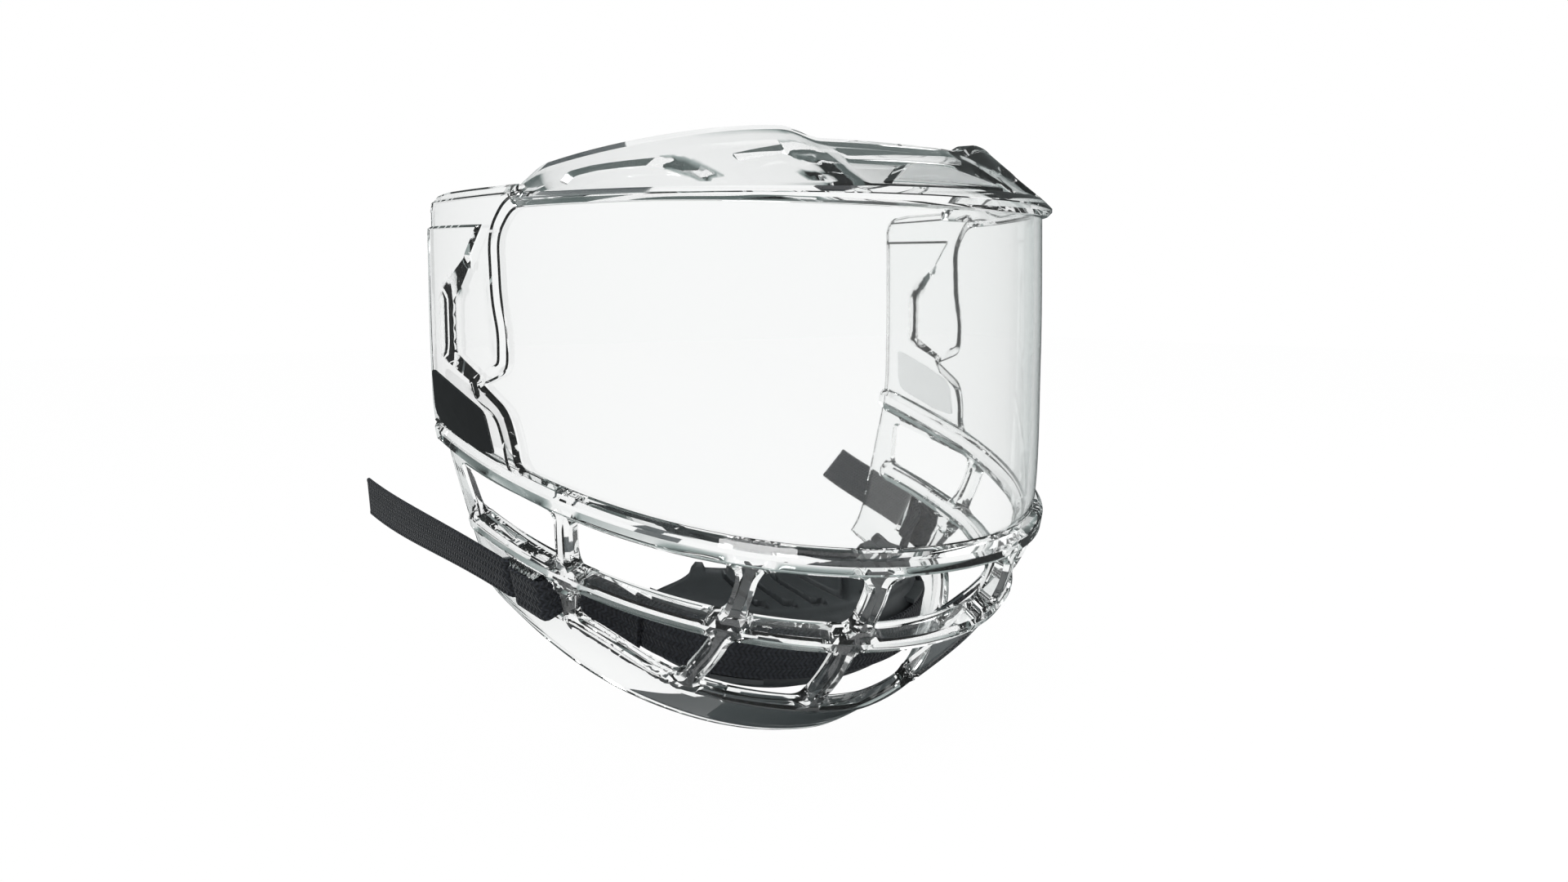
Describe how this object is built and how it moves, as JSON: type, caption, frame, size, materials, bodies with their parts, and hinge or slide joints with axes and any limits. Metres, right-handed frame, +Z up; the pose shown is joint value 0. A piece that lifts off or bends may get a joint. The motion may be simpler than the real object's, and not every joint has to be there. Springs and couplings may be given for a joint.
{
  "type": "hockey full visor",
  "caption": "Clear full-face hockey visor: curved lens with moulded brow and mouth grille, hanging chin cup, and webbing straps laced through the cheeks.",
  "frame": {"origin": "middle of the level land on top of the brow, where the helmet bears", "axes": "+Z up as worn, -Y the way the wearer looks, +X towards the wearer's left"},
  "size_m": [0.2167, 0.2494, 0.2019],
  "materials": {
    "clear_plastic": "clear polycarbonate, polished",
    "webbing": "black woven webbing",
    "cup_rubber": "black moulded rubber, satin",
    "pad_foam": "dark foam liner, matte",
    "badge": "bare black plate, satin",
    "label_film": "bare pale film"
  },
  "bodies": {
    "shield": {"lens": "clear_plastic", "brow": "clear_plastic", "top_bar": "clear_plastic", "middle_bar": "clear_plastic", "chin_guard": "clear_plastic", "left_temple": "clear_plastic", "right_temple": "clear_plastic", "left_cheek_panel": "clear_plastic", "right_cheek_panel": "clear_plastic", "left_front_rib": "clear_plastic", "right_front_rib": "clear_plastic", "left_side_rib": "clear_plastic", "right_side_rib": "clear_plastic", "left_rear_rib": "clear_plastic", "right_rear_rib": "clear_plastic", "left_lower_front_rib": "clear_plastic", "right_lower_front_rib": "clear_plastic", "left_lower_side_rib": "clear_plastic", "right_lower_side_rib": "clear_plastic", "left_strap_run": "webbing", "right_strap_run": "webbing", "left_strap_loop": "webbing", "right_strap_loop": "webbing", "left_strap_fold": "webbing", "right_strap_fold": "webbing", "right_badge": "badge", "left_label": "label_film", "brow_label": "label_film"},
    "chin_cup": {"chin_cup": "cup_rubber", "chin_pad": "pad_foam", "cup_strap": "webbing"},
    "right_tail": {"right_strap_tail": "webbing"},
    "left_tail": {"left_strap_tail": "webbing"}
  },
  "joints": [
    {"name": "chin_cup_tilt", "type": "hinge", "parent": "shield", "child": "chin_cup", "pos_m": [0, 0.05973, -0.15771], "axis": [1, 0, 0], "range_deg": [-15, 8]},
    {"name": "right_tail_swing", "type": "hinge", "parent": "shield", "child": "right_tail", "pos_m": [-0.09067, 0.0872, -0.14114], "axis": [-0.2881, -0.2901, 0.9126], "range_deg": [0, 30]},
    {"name": "left_tail_swing", "type": "hinge", "parent": "shield", "child": "left_tail", "pos_m": [0.09067, 0.0872, -0.14114], "axis": [-0.2881, 0.2901, -0.9126], "range_deg": [0, 30]}
  ]
}
